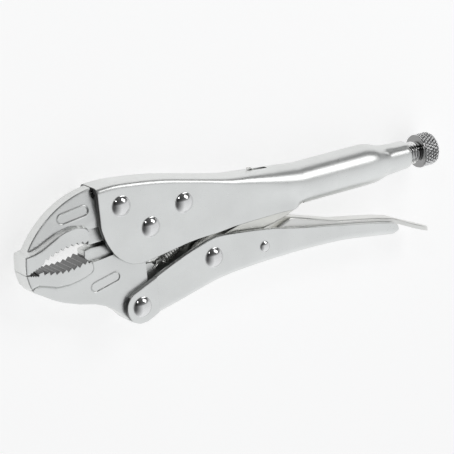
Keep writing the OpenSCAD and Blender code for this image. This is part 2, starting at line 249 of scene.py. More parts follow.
def resample(path, step, closed=True):
    """The same polyline with extra points so that no piece is longer than step."""
    out = []
    pairs = list(zip(path, list(path[1:]) + [path[0]])) if closed else list(zip(path, path[1:]))
    for a, b in pairs:
        count = max(1, int(math.ceil(math.dist(a, b) / step)))
        out.extend((a[0] + (b[0] - a[0]) * k / count, a[1] + (b[1] - a[1]) * k / count)
                   for k in range(count))
    if not closed:
        out.append(tuple(path[-1]))
    return out


def beside(path, offsets, closed=True):
    """Points at the given distances to both sides of a polyline."""
    path = np.asarray(path, float)
    after = np.roll(path, -1, axis=0)
    before = np.roll(path, 1, axis=0)
    if not closed:
        after[-1], before[0] = path[-1], path[0]
    along = after - before
    along /= np.maximum(np.hypot(along[:, 0], along[:, 1]), 1e-9)[:, None]
    normal = np.stack([-along[:, 1], along[:, 0]], axis=1)
    return np.concatenate([path + o * normal for o in offsets])


# where rows of points run beside a rim, as shares of its edge radius
RIM_ROWS = (0.12, 0.45, 1.0, -0.12, -0.45, -1.0)


def plan_points(rim, edge_r, spacing, creases):
    """The rim, rows of points beside it and beside the creases, and a grid in between."""
    rows = [beside(rim, [share * edge_r for share in RIM_ROWS])]
    for path, offsets, closed in creases:
        rows.append(beside(resample(path, spacing * 0.6, closed), offsets, closed))
    rows = np.concatenate(rows)
    rows = rows[is_inside(rows, rim) & (segment_distance(rows, rim) > 0.1 * edge_r)]
    low, high = rim.min(axis=0), rim.max(axis=0)
    grid = np.stack(np.meshgrid(np.arange(low[0], high[0], spacing),
                                np.arange(low[1], high[1], spacing)), axis=-1).reshape(-1, 2)
    clear = segment_distance(grid, rim) > edge_r + 0.3 * spacing
    return np.concatenate([rim, rows, grid[is_inside(grid, rim) & clear]])


def rim_drop(points, rim, edge_r, fine, fine_r):
    """How far the rounding of the rim lowers each point."""
    distance = segment_distance(points, rim)
    radius = np.full(len(points), edge_r)
    for path in fine:
        radius = np.where(segment_distance(points, path, False) < edge_r + 0.05, fine_r, radius)
    inset = np.clip(radius - distance, 0, None)
    return radius - np.sqrt(np.maximum(radius ** 2 - inset ** 2, 0))


def relief(outline, height, edge_r=0.5, spacing=1.0, creases=(), fine=(), fine_r=0.12):
    """A plate with the given outline, symmetric about Z = 0, whose half thickness is
    height(points). Its rim is rounded by edge_r, or by fine_r near the fine polylines.
    creases are (polyline, offsets, closed) where the height changes fast."""
    rim = np.array(resample(outline, spacing))
    points = plan_points(rim, edge_r, spacing, creases)
    edges = [(i, (i + 1) % len(rim)) for i in range(len(rim))]
    flat, _, tris, _, _, _ = delaunay_2d_cdt([Vector(p) for p in points], edges, [], 0, 1e-4)
    flat = np.array([tuple(v) for v in flat])
    tris = np.array([t for t in tris if len(t) == 3])
    tris = tris[is_inside(flat[tris].mean(axis=1), rim)]
    z = height(flat) - rim_drop(flat, rim, edge_r, fine, fine_r)
    top = np.column_stack([flat, z])
    bottom = np.column_stack([flat, -z])
    count = len(flat)
    uses = {}
    for t in tris:
        for a, b in ((t[0], t[1]), (t[1], t[2]), (t[2], t[0])):
            edge = (min(a, b), max(a, b))
            uses[edge] = uses.get(edge, 0) + 1
    faces = [list(t) for t in tris] + [[i + count for i in reversed(t)] for t in tris]
    faces += [[a, b, b + count, a + count] for (a, b), n in uses.items() if n == 1]
    return np.concatenate([top, bottom]), faces


def flat_height(value):
    """The same half thickness everywhere."""
    return lambda points: np.full(len(points), value)


def pill(centre, length, width, angle):
    """Closed outline of an oval pad."""
    r = width / 2
    half = length / 2 - r
    turn = math.radians(angle)
    shape = (arc_points((half, 0), r, -90, 90) + arc_points((-half, 0), r, 90, 270))
    return [(centre[0] + x * math.cos(turn) - y * math.sin(turn),
             centre[1] + x * math.sin(turn) + y * math.cos(turn)) for x, y in shape]


# ---- folded sheet ----

EDGE_R = 0.4
# where the rounding of a sheet's edge starts, as shares of the sheet and of EDGE_R
EDGE_INSET = 0.14
EDGE_REACH = 0.75


def half_channel(spine, edge, half_w, radius, up, inset, splits):
    """Half of a U-shaped path in a plane across X, from the plate's edge to the middle of
    the fold, as (y, z) points. up is 1 for a fold at the top and -1 at the bottom."""
    walls, arcs, flats = splits
    w, r = half_w - inset, max(radius - inset, 0.15)
    top = spine - up * inset
    wall_end = top - up * r
    path = [(edge + (wall_end - edge) * k / walls, w) for k in range(walls)]
    for k in range(arcs):
        a = math.radians(90 * k / arcs)
        path.append((top - up * r * (1 - math.sin(a)), w - r * (1 - math.cos(a))))
    path += [(top, (w - r) * (1 - k / flats)) for k in range(flats + 1)]
    return path


def sheet_section(x, outer, inner):
    """A closed section of bent sheet from its outer and inner half paths, with rounded
    plate edges."""
    first_out, first_in = np.array(outer[0]), np.array(inner[0])
    outward = first_out - np.array(outer[1])
    outward /= np.hypot(*outward)
    mid = (first_out + first_in) / 2 + outward * EDGE_R
    lean = (first_in - first_out) * EDGE_INSET
    soft_out = first_out + lean + outward * EDGE_R * EDGE_REACH
    soft_in = first_in - lean + outward * EDGE_R * EDGE_REACH
    near_side = [mid, soft_out] + list(outer)
    far_side = [(y, -z) for y, z in list(reversed(outer[:-1])) + [soft_out, mid, soft_in]]
    back = [(y, -z) for y, z in inner] + list(reversed(inner[:-1])) + [soft_in]
    return [(x, y, z) for y, z in near_side + far_side + back]


# ---- fixed handle ----

SPINE = smooth_line([(-84, 26.9), (-76, 27.2), (-62, 26), (-46, 23.6), (-32, 20.5), (-18, 17.3),
                     (-6, 15.2), (8, 14.2), (20, 13.2), (31, 12.2), (36, 11.7)])
LOBE_FRONT = [(-84, 8.0), (-83.2, 4.2), (-82, 0.4), (-80, -4.0), (-77, -8.3), (-73, -12.0),
              (-68, -14.5), (-63.5, -15.1), (-57, -14.5), (-46, -12.9), (-32, -11.1),
              (-18, -10.6), (-6, -9.7), (20, -9.4), (30.9, -10), (35.9, -7.7)]
PLATE_EDGE = smooth_line(LOBE_FRONT[:-2])
RELIEF_EDGE = straight_line(LOBE_FRONT[-3:])
TUBE_RADIUS = smooth_line([(36, 11), (78, 11), (81, 10.85), (84, 10.5), (87, 9.7), (90, 8.9),
                           (93, 8.35), (97, 8.05), (101.5, 7.8), (106.7, 7.55)])
TUBE_BORE = straight_line([(36, 8.3), (80, 8.3), (86, 6.1), (106.7, 6.1)])
TUBE_CENTRE = smooth_line([(36, TUBE_RISE), (78, TUBE_RISE), (90, 0), (107, 0)])
RELIEF_X = 20.0
CHANNEL_END_X = -24.0
ROLL_START_X = 28.0
TUBE_X = 36.0
NECK_END_X = 106.7
LINK_SLOT_END = 55.5
LINK_SLOT_HALF = 5.0
SLOT_CORNER = 1.2
SEAM_HALF = 0.12
SPRING_SLOT = (8.0, 18.0)
# quads along the wall, round the fold and across half the top
HANDLE_SPLITS = (18, 12, 6)
GROOVE_ANGLES = (46, -26, 118, -98, -170)


def slot_half_width(x):
    """Half the distance between the rolled edges under the tube."""
    past = (x - (LINK_SLOT_END - SLOT_CORNER)) / SLOT_CORNER
    if past <= 0:
        return LINK_SLOT_HALF
    if past > 1:
        return SEAM_HALF
    return LINK_SLOT_HALF - SLOT_CORNER * (1 - math.sqrt(1 - past * past))


def neck_grooves(x, degrees):
    """How deep the swaged grooves of the neck are at x, at an angle round the axis. Each
    starts with a dent and runs on as a fine line."""
    if x < 86:
        return 0.0
    depth = 0.15 * ease((x - 88) / 5) + 0.3 * math.exp(-((x - 92.0) / 2.0) ** 2)
    width = 5.0 + 6.0 * math.exp(-((x - 93.0) / 2.5) ** 2)
    total = 0.0
    for middle in GROOVE_ANGLES:
        off = (degrees - middle + 180) % 360 - 180
        total += math.exp(-(off / width) ** 2)
    return depth * total


def tube_middle(x):
    """Height of the tube's middle, which follows the spine where the channel rolls into it."""
    return SPINE(x) - TUBE_R if x < TUBE_X else TUBE_CENTRE(x)


def tube_path(x, opening, inset, inner, count):
    """Half of the tube's section from its rolled edge to the top, as (y, z)."""
    centre = tube_middle(x)
    path = []
    for k in range(count + 1):
        degrees = opening + (90 - opening) * k / count
        a = math.radians(degrees)
        r = TUBE_BORE(x) + inset if inner else TUBE_RADIUS(x) - inset - neck_grooves(x, degrees)
        path.append((centre + r * math.sin(a), r * math.cos(a)))
    return path


def handle_half(x, inset, inner):
    """Half of the fixed handle's section at x: channel, tube, or a mix of the two."""
    spine = SPINE(x) - (SHEET if inner else 0)
    half_w = PLATE_Z - (SHEET if inner else 0)
    radius = FOLD_R - (SHEET if inner else 0)
    edge = PLATE_EDGE(x) if x < RELIEF_X else RELIEF_EDGE(x)
    if inner:
        inset = -inset
    top_share = ease((x - CHANNEL_END_X) / (TUBE_X - CHANNEL_END_X))
    edge_share = ease((x - ROLL_START_X) / (TUBE_X - ROLL_START_X))
    walls, arcs, flats = HANDLE_SPLITS
    count = walls + arcs + flats
    if x > TUBE_X:
        opening = -90 + math.degrees(math.asin(slot_half_width(x) / TUBE_RADIUS(x)))
    else:
        opening = math.degrees(math.asin(max(-0.87, (edge - tube_middle(x)) / TUBE_R)))
    tube = tube_path(x, opening, -inset if inner else inset, inner, count)
    if top_share >= 1:
        return tube
    channel = half_channel(spine, edge, half_w, radius, 1, inset, HANDLE_SPLITS)
    path = []
    for k, (c, t) in enumerate(zip(channel, tube)):
        share = edge_share + (top_share - edge_share) * float(ease(k / walls))
        path.append(((1 - share) * c[0] + share * t[0], (1 - share) * c[1] + share * t[1]))
    return path


def cut_window(verts, faces, count, rows, columns_out, columns_in):
    """Opens a window through a lofted sheet, between two stations and between two columns
    of its outer and of its inner side, and walls it."""
    first, last = rows
    gone = set()
    for lo, hi in (columns_out, columns_in):
        for k in range(first, last):
            for i in range(lo, hi):
                gone.add(frozenset((k * count + i, k * count + i + 1, (k + 1) * count + i,
                                    (k + 1) * count + i + 1)))
    kept = [f for f in faces if frozenset(f) not in gone]
    out_lo, out_hi = columns_out
    in_lo, in_hi = columns_in
    for k in range(first, last):
        for a, b in ((out_lo, in_hi), (out_hi, in_lo)):
            kept.append([k * count + a, (k + 1) * count + a, (k + 1) * count + b, k * count + b])
    for k in (first, last):
        for i in range(out_hi - out_lo):
            kept.append([k * count + out_lo + i, k * count + out_lo + i + 1,
                         k * count + in_hi - i - 1, k * count + in_hi - i])
    return verts, kept


HANDLE_FRONT_X = -84.0
# where the handle's shape changes fast
HANDLE_STOPS = [HANDLE_FRONT_X, -83.6, -80, -73, -62, -6, *SPRING_SLOT, 30.9, 35.9, 36.3, 54.2,
                54.9, 55.3, 55.45, LINK_SLOT_END, 55.6, 78, 86, 98, 106.3, NECK_END_X]


def fixed_handle_mesh():
    """The folded channel, tube and swaged neck as one bent sheet, with the spring's slot."""
    rounded_ends = [-83.95, -83.8, 106.55, 106.65]
    grooves = [88 + 0.5 * k for k in range(24)]
    xs = sorted({round(x, 4) for x in spread(HANDLE_STOPS, 1.6) + rounded_ends + grooves})
    sections = []
    for x in xs:
        from_end = min(x - HANDLE_FRONT_X, NECK_END_X - x)
        inset = 0.0
        if from_end < EDGE_R:
            inset = EDGE_R - math.sqrt(EDGE_R ** 2 - (EDGE_R - from_end) ** 2)
        sections.append(sheet_section(x, handle_half(x, inset, False), handle_half(x, inset, True)))
    verts, faces = loft(sections)
    half = sum(HANDLE_SPLITS)
    middle_out = 2 + half
    middle_in = 2 + (2 * half + 1) + 3 + half
    rows = [xs.index(x) for x in SPRING_SLOT]
    reach = 2
    return cut_window(verts, faces, len(sections[0]), rows,
                      (middle_out - reach, middle_out + reach),
                      (middle_in - reach, middle_in + reach))


# ---- movable handle ----

BOTTOM = smooth_line([(-56.4, -43.5), (-46, -41.3), (-32, -38.1), (-19, -35.4), (-6, -34.2),
                      (14, -33.5), (28, -33.4), (54, -34.3), (82, -38), (91.5, -39.5)])
UPPER = smooth_line([(-56.4, -24.5), (-46, -20.4), (-32, -15.8), (-19, -13.1), (-6, -14.2),
                     (14, -17), (28, -20.1), (54, -25.2), (82, -30.6), (91, -32.9)])
HANDLE_ROUND_X = 91.0
HANDLE_END_X = 94.0
HANDLE_END_EDGE = -36.3
HANDLE_END_FOLD = -37.1
# quads along the wall, round the fold and across half the bottom
CHANNEL_SPLITS = (8, 9, 4)
EAR_R = 8.6


def channel_mesh():
    """The movable handle's folded channel, closed at its rounded end."""
    xs = spread([-56.4, 0, 84, HANDLE_ROUND_X], 2.0) + [92, 92.8, 93.4, 93.8, HANDLE_END_X]
    sections = []
    for x in xs:
        t = max(0.0, (x - HANDLE_ROUND_X) / (HANDLE_END_X - HANDLE_ROUND_X))
        swing = 1 - math.sqrt(max(0.0, 1 - t * t))
        edge = UPPER(x) + (HANDLE_END_EDGE - UPPER(x)) * swing
        bottom = BOTTOM(x) + (HANDLE_END_FOLD - BOTTOM(x)) * swing
        radius = min(FOLD_R, 0.6 * (edge - bottom))
        sheet = min(SHEET, 0.42 * (edge - bottom))
        outer = half_channel(bottom, edge, PLATE_Z, radius, -1, 0, CHANNEL_SPLITS)
        inner = half_channel(bottom + sheet, edge, PLATE_Z - SHEET, max(0.4, radius - SHEET), -1,
                             0, CHANNEL_SPLITS)
        sections.append(sheet_section(x, outer, inner))
    return loft(sections)


def movable_handle_mesh():
    """The movable handle: its channel and the two ears in front."""
    outline = (arc_points(HANDLE_PIVOT, EAR_R, 261, 118)
               + [(-68.6, -29.3), (-62, -26.7), (-55.2, -24.04), (-55.2, -38.6), (-56.6, -42.6),
                  (-60.2, -44.4), (-63.6, -45.7)])
    verts, faces = relief(outline[::-1], flat_height((SHEET - 0.02) / 2), EDGE_R, 1.2)
    ears = [(verts + np.array([0, 0, side * (PLATE_Z - SHEET / 2)]), faces) for side in (-1, 1)]
    return join_parts([channel_mesh()] + ears)


# ---- jaws ----

UPPER_ARC = (-97.9, -32.6, 35.3)
LOWER_ARC = (-104.3, 29.0, 38.2)
BACK_ARC = (-79.5, -22.8, 50.0)
BACK_SLOPE = 16.0
BACK_Z = 3.4
TOOTH_H = 1.4
FINE_TOOTH_H = 0.6
HUB_R = 12.5
JAW_EDGE_R = 0.6
# rows of points beside the lips' edges, the cutters' and the tab's steps, and the pads
UPPER_LIP_ROWS = (-1.1, -0.75, -0.45, -0.15, 0.15, 0.45, 0.75, 1.1)
LOWER_LIP_ROWS = (-1.0, -0.8, -0.6, -0.4, -0.2, 0.0, 0.2, 0.4)
CUTTER_ROWS = (-0.12, 0.0, 0.12)
TAB_ROWS = (-0.15, 0.0, 0.15)
PAD_ROWS = (-0.9, -0.5, -0.25, 0.0, 0.25, 0.5, 0.75)
PAD_SIZE = (16.5, 5)


def tooth_arc(centre, root, tip, start, end, count):
    """A saw of teeth along an arc."""
    out = []
    for i in range(count):
        for radius, share in ((root, 0.0), (tip, 0.66), (tip, 0.74)):
            a = math.radians(start + (end - start) * (i + share) / count)
            out.append((centre[0] + radius * math.cos(a), centre[1] + radius * math.sin(a)))
    return out


def tooth_line(start, end, height, count):
    """A saw of small teeth along a straight line."""
    out = []
    for i in range(count):
        for share, up in ((0.0, 0), (0.46, 1), (0.54, 1)):
            t = (i + share) / count
            out.append((start[0] + (end[0] - start[0]) * t,
                        start[1] + (end[1] - start[1]) * t + up * height))
    return out


def upper_teeth():
    """The fixed jaw's teeth, from the rear to the nose."""
    curved = tooth_arc(UPPER_ARC[:2], UPPER_ARC[2] + TOOTH_H / 2, UPPER_ARC[2] - TOOTH_H / 2,
                       79, 122, 9)
    return curved + tooth_line((-116.8, -3.2), (NOSE_X + 1.2, NOSE_Y + 0.6), -FINE_TOOTH_H, 5)


def lower_teeth():
    """The movable jaw's teeth, from the nose to the rear."""
    curved = tooth_arc(LOWER_ARC[:2], LOWER_ARC[2] + TOOTH_H / 2, LOWER_ARC[2] - TOOTH_H / 2,
                       248, 290, 9)
    return tooth_line((NOSE_X + 1.2, NOSE_Y - 0.6), (-118, -8.6), FINE_TOOTH_H, 5) + curved


def pad_height(points, outline):
    """A blank oval recess with a fine raised rim, as a change of height."""
    d = signed_distance(points, outline)
    return 0.2 * np.exp(-(d / 0.3) ** 2) - 0.2 * ease((d - 0.15) / 0.4)


UPPER_LIP_LINE = [(-125.5, 2.5), (-124.2, 2.7), (-119.7, 3.3), (-116, 4.5), (-110.3, 7.3),
                  (-106.4, 9), (-103, 10.2), (-99.1, 10.8), (-95.5, 10.6), (-92.4, 9.8),
                  (-90.4, 8.2), (-89.4, 6), (-89.5, 3.4), (-90.2, 1.0)]
LOWER_LIP_LINE = [(-125.5, -13.8), (-123.4, -13.9), (-119.3, -12.8), (-115.5, -14), (-109.3, -16),
                  (-103, -16.3), (-98.4, -15.7), (-94.4, -14.8), (-91, -13.5), (-89.6, -12),
                  (-89.7, -10), (-90.4, -7.4)]


def lip_height(points):
    """Half thickness of the lips, which widen behind the nose."""
    return NOSE_Z + (LIP_Z - NOSE_Z) * np.clip((points[:, 0] - NOSE_X) / 13, 0, 1)


def step_to(z, level, inside, band):
    """Heights that change to another level across a band, at an edge they are inside of."""
    return z + (level - z) * ease(inside / band + 0.5)


def fixed_jaw_mesh():
    """The fixed jaw: web, raised lip, wire cutter and blank pad."""
    teeth = upper_teeth()
    back = arc_points(BACK_ARC[:2], BACK_ARC[2], 149.1, 96.0, 1.0)
    outline = ([(NOSE_X, NOSE_Y + 0.1), (NOSE_X + 0.25, -1.5), (NOSE_X + 0.8, 2.6)] + back
               + [(-84.7, 23.8), (-84.2, 22), (-76, 22.4), (-62, 21.2), (-46, 18.8), (-32, 15.7),
                  (-27.5, 14.4), (-27, 4), (-40, 3)]
               + arc_points(JAW_PIVOT, HUB_R + 0.5, 8, 168, 1.0)
               + [(-70.5, -0.2), (-79, -0.5), (-88, -0.9), (-91.9, 0.2)] + teeth
               + [(NOSE_X + 1.2, NOSE_Y + 0.1)])
    lip = UPPER_LIP_LINE + [(-91.8, 0.6), (-92, -12), (-130, -12), (-130, 3)]
    cutter = [(-89.9, 7.6), (-84, 7.6), (-70, 7.6), (-66, 4), (-66, -4), (-92.2, -4),
              (-91.0, 1.0), (-90.3, 4)]
    pad = pill((-96.2, 16.2), *PAD_SIZE, 7.5)

    def height(p):
        from_back = BACK_ARC[2] - np.hypot(p[:, 0] - BACK_ARC[0], p[:, 1] - BACK_ARC[1])
        thin = np.clip(1 - from_back / BACK_SLOPE, 0, 1) * ease((-79 - p[:, 0]) / 1.5)
        z = WEB_Z - (WEB_Z - BACK_Z) * thin + pad_height(p, pad)
        lip_band = 0.9 + 1.3 * ease((-92 - p[:, 0]) / 20)
        z = step_to(z, lip_height(p), signed_distance(p, lip), lip_band)
        return step_to(z, CUTTER_Z, signed_distance(p, cutter), 0.16)

    creases = [(UPPER_LIP_LINE, UPPER_LIP_ROWS, False), (cutter, CUTTER_ROWS, True),
               (pad, PAD_ROWS, True)]
    return relief(outline[::-1], height, JAW_EDGE_R, 0.9, creases, [teeth])


def movable_jaw_mesh():
    """The movable jaw: web, raised lip, cutter, spring tab, ear and blank pad."""
    teeth = lower_teeth()
    belly = [(NOSE_X + 0.8, -11), (NOSE_X + 1.7, -13.9), (-121.5, -16.3), (-118, -18.5),
             (-112.5, -22.1), (-106.5, -25.2), (-98.2, -28.2), (-90.1, -30.3), (-84.6, -32.7),
             (-79.9, -35.9), (-75.8, -39.7), (-73, -42.8)]
    outline = ([(NOSE_X, NOSE_Y - 0.1), (NOSE_X + 1.2, NOSE_Y - 0.1)] + teeth
               + [(-92.1, -8.0), (-91.9, -3), (-88, -2.3), (-79, -2.6), (-69.5, -3.1)]
               + arc_points(JAW_PIVOT, HUB_R, 200, -58, 1.0)
               + [(-57, -12.5), (-59.8, -17)]
               + arc_points((-57.0, -22.3), 4.2, 105, -105, 0.7)
               + [(-60, -27), (-59.2, -29.4), (-57.8, -33)]
               + arc_points(HANDLE_PIVOT, 9.0, 20, -142, 1.0)
               + belly[::-1])
    lip = LOWER_LIP_LINE + [(-91.4, -8), (-91.4, -2), (-130, -2), (-130, -13.5)]
    cutter = [(-90.2, -9.0), (-84, -8.6), (-77, -7.9), (-73, -6.3), (-68.5, -2.5), (-68.5, 0),
              (-92.3, 0), (-92.3, -7.9), (-90.6, -7.9)]
    tab_area = [(-60, -15.5), (-60, -28), (-50, -28), (-50, -15.5)]
    pad = pill((-83.2, -20.5), *PAD_SIZE, 12.5)

    def height(p):
        in_lip = signed_distance(p, lip)
        z = step_to(WEB_Z + pad_height(p, pad), lip_height(p), in_lip, 0.7)
        z -= 0.4 * np.exp(-((in_lip + 0.6) / 0.28) ** 2)
        z = step_to(z, CUTTER_Z, signed_distance(p, cutter), 0.16)
        return step_to(z, TAB_Z, signed_distance(p, tab_area), 0.2)

    creases = [(LOWER_LIP_LINE, LOWER_LIP_ROWS, False), (cutter, CUTTER_ROWS, True),
               (tab_area[:2], TAB_ROWS, False), (pad, PAD_ROWS, True)]
    return relief(outline[::-1], height, JAW_EDGE_R, 0.9, creases, [teeth])


# ---- toggle link and release lever ----

LINK_HALF = 4.5


def toggle_link_mesh():
    """The flat bar between the movable handle and the adjusting screw."""
    outline = rounded([(-25.5, -17.2), (20, -4.6), (48.5, 3.6), (52.5, 4.5), (56, 1.5),
                       (54.5, -2.6), (34, -10.0), (28, -12.9), (20, -15), (8, -17.5),
                       (-8, -22.6), (-19.4, -28.6), (-24, -29.3), (-28.6, -25.5),
                       (-28.9, -20.5)][::-1], 3.0)
    return relief(outline, flat_height(LINK_HALF), 0.5, 1.5)


LEVER_TOP = straight_line([(8, -20.6), (16, -19.1), (26.6, -15.2), (27.8, -14.75), (29, -14.95),
                           (57, -23.5), (84, -28.7), (94, -31.4), (98, -33.2), (106, -37),
                           (118.4, -42.2)])
LEVER_WALL = straight_line([(8, -28), (20, -29.6), (54, -30.2), (80, -32.6), (90, -33.4),
                            (94, -33.9), (98, -35.6), (106, -39.4), (118.4, -44.6)])
LEVER_HALF = 5.3
TAIL_HALF = 6.3
TAIL_ROUND_X = 112.0
LEVER_END_X = 118.4
LEVER_SHEET = 2.0
LEVER_SPLITS = (6, 6, 4)


def lever_half_width(x):
    """Half the lever's width, which grows towards the tail and rounds off at its end."""
    half = LEVER_HALF + (TAIL_HALF - LEVER_HALF) * ease((x - 95) / 8)
    if x > TAIL_ROUND_X:
        share = (x - TAIL_ROUND_X) / (LEVER_END_X + 0.02 - TAIL_ROUND_X)
        half *= math.sqrt(max(0.004, 1 - share ** 2))
    return half


def release_lever_mesh():
    """The folded release lever with its bent, flattened, round-ended tail."""
    xs = spread([8, 16, 26.6, 29, 57, 84, 98, TAIL_ROUND_X], 1.6)
    xs += [113.5, 115, 116.2, 117.2, 117.9, 118.25, LEVER_END_X]
    sections = []
    for x in xs:
        half = lever_half_width(x)
        top = LEVER_TOP(x)
        wall = min(LEVER_WALL(x), top - LEVER_SHEET - 0.15)
        radius = min(1.5 - 0.7 * ease((x - 90) / 6), 0.8 * half)
        inner_half = max(0.3 * half, half - LEVER_SHEET)
        outer = half_channel(top, wall, half, radius, 1, 0, LEVER_SPLITS)
        inner = half_channel(top - LEVER_SHEET, wall, inner_half, min(0.5, 0.5 * inner_half), 1,
                             0, LEVER_SPLITS)
        sections.append(sheet_section(x, outer, inner))
    return loft(sections)


# ---- turned parts ----

RIVET_EDGE = 0.22


def spin(profile, centre, steps=48):
    """A surface of revolution about Z from (radius, z) points."""
    verts, faces = [], []
    for r, z in profile:
        for k in range(steps):
            a = 2 * math.pi * k / steps
            verts.append((centre[0] + r * math.cos(a), centre[1] + r * math.sin(a), z))
    for i in range(len(profile) - 1):
        for k in range(steps):
            j = (k + 1) % steps
            faces.append([i * steps + k, i * steps + j, (i + 1) * steps + j, (i + 1) * steps + k])
    return verts, faces


def rivet_mesh(centre, shank_r, head_r, head_h):
    """A riveted pin with a smooth dome on each side, whose rim is slightly rounded."""
    ball = (head_r ** 2 + head_h ** 2) / (2 * head_h)
    rim = math.asin(min(1.0, head_r / ball))
    under = PLATE_Z - 0.05
    profile = [(shank_r, 0), (shank_r, under), (head_r - RIVET_EDGE, under),
               (head_r, PLATE_Z + RIVET_EDGE * 0.8)]
    for share in np.linspace(0.94, 0, 14):
        angle = rim * share
        profile.append((max(ball * math.sin(angle), 1e-4),
                        PLATE_Z + head_h - ball * (1 - math.cos(angle))))
    return spin([(r, -z) for r, z in reversed(profile)] + profile[1:], centre)


def along_x(radius_at, xs, angles):
    """A surface round the X axis with radius_at(x, angle)."""
    verts, faces = [], []
    for x in xs:
        for a in angles:
            r = radius_at(x, a)
            verts.append((x, r * math.cos(a), r * math.sin(a)))
    n = len(angles)
    for i in range(len(xs) - 1):
        for k in range(n):
            j = (k + 1) % n
            faces.append([i * n + k, i * n + j, (i + 1) * n + j, (i + 1) * n + k])
    return verts, faces


def rings_on_x(profile, angles):
    """A surface of revolution round the X axis from (x, radius) points."""
    verts, faces = along_x(lambda i, angle: profile[i][1], range(len(profile)), angles)
    return [(profile[i][0], y, z) for i, y, z in verts], faces


TIP_X = 60.7
THREAD_START_X = TIP_X + 3
THREAD_ROOT_R = 4.9
SLICES_PER_TURN = 9
KNURL_DEPTH = 0.85
KNURL_LINES = 28
KNURL_LEAD = 2 * math.pi * KNOB_R / math.tan(math.radians(32))
KNURL_START_X = KNOB_X + 0.7
KNURL_SLICES = 60
KNOB_EDGE_R = 1.8
DIMPLE_R = 4.9


def thread_radius(x, angle):
    """Radius of the screw's thread, a helix with flat crests."""
    turn = (x / PITCH - angle / (2 * math.pi)) % 1.0
    ridge = 1 - abs(2 * turn - 1)
    depth = 0.6 * PITCH
    return THREAD_R - depth + depth * float(np.clip(1.25 * ridge - 0.1, 0, 1))


def knurl_radius(x, angle):
    """Radius of the knob's diamond knurl, which fades out at its rounded rear edge."""
    from_rear = KNOB_X + KNOB_LEN - x
    past = max(0.0, KNOB_EDGE_R - from_rear)
    radius = KNOB_R - (KNOB_EDGE_R - math.sqrt(max(0.0, KNOB_EDGE_R ** 2 - past ** 2)))
    fade = float(ease((x - KNURL_START_X) / 0.3)) * float(ease(from_rear / 1.2))
    around = angle * KNURL_LINES / (2 * math.pi)
    along = x * KNURL_LINES / KNURL_LEAD
    peak = min(1 - abs(2 * (way % 1.0) - 1) for way in (around + along, around - along))
    return radius - KNURL_DEPTH * ((1 - fade) * 0.25 + fade * (1 - min(1.0, 1.3 * peak)))


def screw_mesh():
    """The adjusting screw: thread, plain front ring and knurled knob."""
    angles = [2 * math.pi * k / 64 for k in range(64)]
    slices = int((KNOB_X - 0.9 - THREAD_START_X) / PITCH * SLICES_PER_TURN)
    xs = [THREAD_START_X + k * PITCH / SLICES_PER_TURN for k in range(slices)]

    def shank(x, angle):
        share = ease((x - THREAD_START_X) / 2.0) * ease((xs[-1] - x) / 1.2)
        return THREAD_ROOT_R + (thread_radius(x, angle) - THREAD_ROOT_R) * float(share)

    tip = [(TIP_X, 1e-4), (TIP_X, 2.6), (TIP_X + 0.3, 3.1), (TIP_X + 2.4, 4.6),
           (THREAD_START_X, THREAD_ROOT_R)]
    collar = [(xs[-1], THREAD_ROOT_R), (KNOB_X - 0.4, THREAD_ROOT_R),
              (KNOB_X, THREAD_ROOT_R + 0.4), (KNOB_X, KNOB_R - 0.75),
              (KNOB_X + 0.25, KNOB_R - 0.35), (KNURL_START_X, KNOB_R - 0.3)]
    knurl_angles = [2 * math.pi * k / 420 for k in range(420)]
    knurl_xs = [KNURL_START_X + k * (KNOB_LEN - 0.8) / KNURL_SLICES
                for k in range(KNURL_SLICES + 1)]
    end_x = knurl_xs[-1]
    end_r = knurl_radius(end_x, 0.0)
    rear_x = KNOB_X + KNOB_LEN
    face = [(end_x, end_r), (rear_x, end_r - 0.5), (rear_x, DIMPLE_R + 0.5),
            (rear_x - 0.35, DIMPLE_R), (rear_x - 0.35, 1e-4)]
    return join_parts([rings_on_x(tip, angles), along_x(shank, xs, angles),
                       rings_on_x(collar, angles), along_x(knurl_radius, knurl_xs, knurl_angles),
                       rings_on_x(face, knurl_angles)])


# ---- spring ----

def wire_tube(path, radius, sides=10):
    """A closed tube of wire along a path of 3-D points."""
    path = np.asarray(path, float)
    along = np.gradient(path, axis=0)
    along /= np.linalg.norm(along, axis=1)[:, None]
    up = np.array([0.0, 0.0, 1.0]) if abs(along[0][2]) < 0.9 else np.array([1.0, 0.0, 0.0])
    verts, faces = [], []
    side = np.cross(along[0], up)
    for p, t in zip(path, along):
        side = side - t * float(side @ t)
        side /= np.linalg.norm(side)
        over = np.cross(t, side)
        for k in range(sides):
            a = 2 * math.pi * k / sides
            verts.append(tuple(p + radius * (math.cos(a) * side + math.sin(a) * over)))
    for i in range(len(path) - 1):
        for k in range(sides):
            j = (k + 1) % sides
            faces.append([i * sides + k, i * sides + j, (i + 1) * sides + j, (i + 1) * sides + k])
    faces.append(list(range(sides)))
    faces.append([(len(path) - 1) * sides + k for k in range(sides)])
    return verts, faces


WIRE_R = 0.65
COIL_R = 3.35
COIL_PITCH = 1.42
RING_R = 2.95
REAR_LEN = 9.0
FRONT_LEN = 12.0


def spring_line():
    """The spring's direction and length in the tool's plane."""
    reach = np.array(HANDLE_HOOK) - np.array(JAW_HOOK)
    length = float(np.linalg.norm(reach))
    return reach / length, length


# the spring's hook over the rear of the handle's slot, in the tool's plane
HOOK_LINE = [(11.2, 11.5), (10.3, 12.9), (9.5, 14.2), (8.4, 14.95), (6.6, 15.15)]
STEPS_PER_COIL = 20


